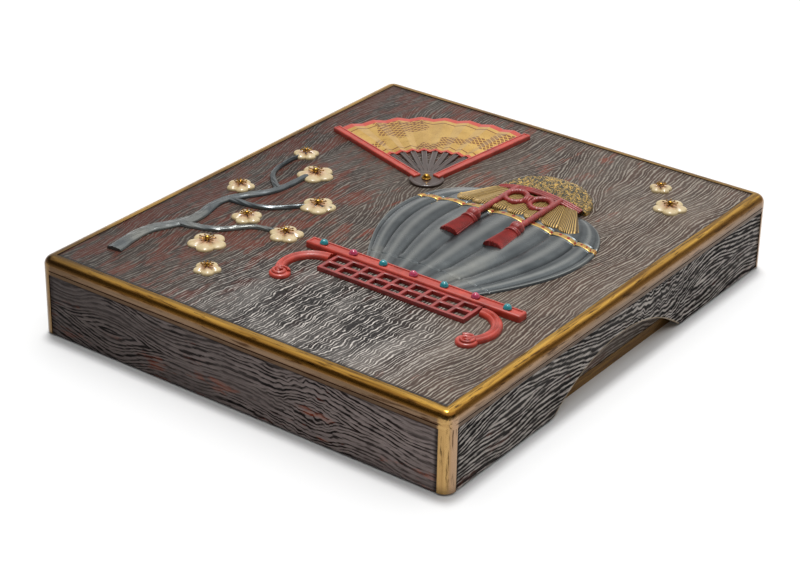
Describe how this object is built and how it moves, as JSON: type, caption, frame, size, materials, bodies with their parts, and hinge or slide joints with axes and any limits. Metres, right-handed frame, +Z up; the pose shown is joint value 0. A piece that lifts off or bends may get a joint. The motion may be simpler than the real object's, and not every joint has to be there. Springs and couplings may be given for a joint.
{
  "type": "document box",
  "caption": "Shallow document box with an overlapping lift-off lid, grained boards in rounded gold-lacquer edging, arched finger notches and a raised relief on top.",
  "frame": {"origin": "middle of the underside, on the table plane", "axes": "+Z up, +X across the short side, +Y along the long side; the relief on the lid stands upright along +Y"},
  "size_m": [0.318, 0.372, 0.0662],
  "materials": {
    "grained_wood": "brushed grain, dark stain and lacquer",
    "gold_lacquer": "gold lacquer over wood, semi-gloss, worn",
    "pewter_lacquer": "raised lacquer in a pewter tone, satin",
    "red_lacquer": "vermilion lacquer, gloss",
    "brocade_lacquer": "gold and dark lacquer in a woven pattern",
    "dark_lacquer": "black-brown lacquer, gloss",
    "shell_white": "shell-white inlay, satin",
    "teal_bead": "glazed, gloss",
    "ruby_bead": "glazed, gloss",
    "peg_wood": "bare wood"
  },
  "bodies": {
    "box": {"base_board": "grained_wood", "foot_front": "gold_lacquer", "foot_right": "gold_lacquer", "foot_back": "gold_lacquer", "foot_left": "gold_lacquer", "box_side_front": "grained_wood", "box_side_right": "grained_wood", "box_side_back": "grained_wood", "box_side_left": "grained_wood", "box_post_front_right": "gold_lacquer", "box_post_back_right": "gold_lacquer", "box_post_back_left": "gold_lacquer", "box_post_front_left": "gold_lacquer", "rim_front": "gold_lacquer", "rim_right": "gold_lacquer", "rim_back": "gold_lacquer", "rim_left": "gold_lacquer", "base_pegs": "peg_wood"},
    "lid": {"lid_top_board": "grained_wood", "lid_edge_front": "gold_lacquer", "lid_edge_right": "gold_lacquer", "lid_edge_back": "gold_lacquer", "lid_edge_left": "gold_lacquer", "lid_side_front": "grained_wood", "lid_side_right": "grained_wood", "lid_side_back": "grained_wood", "lid_side_left": "grained_wood", "lid_post_front_right": "gold_lacquer", "lid_post_back_right": "gold_lacquer", "lid_post_back_left": "gold_lacquer", "lid_post_front_left": "gold_lacquer", "relief_jar": "pewter_lacquer", "relief_jar_cap": "brocade_lacquer", "relief_jar_frill": "brocade_lacquer", "relief_cord": "red_lacquer", "relief_tassels": "red_lacquer", "relief_stand_plank": "red_lacquer", "relief_stand_apron": "red_lacquer", "relief_stand_legs": "red_lacquer", "relief_fan_leaf": "gold_lacquer", "relief_fan_sticks": "dark_lacquer", "relief_fan_guards": "red_lacquer", "relief_fan_rivet": "gold_lacquer", "relief_plum_branch": "pewter_lacquer", "relief_plum_blossoms": "shell_white", "relief_blossom_hearts": "gold_lacquer", "relief_teal_beads": "teal_bead", "relief_ruby_beads": "ruby_bead"}
  },
  "joints": [
    {"name": "lid_lift", "type": "slide", "parent": "box", "child": "lid", "axis": [0, 0, 1], "range_m": [0, 0.12]}
  ]
}
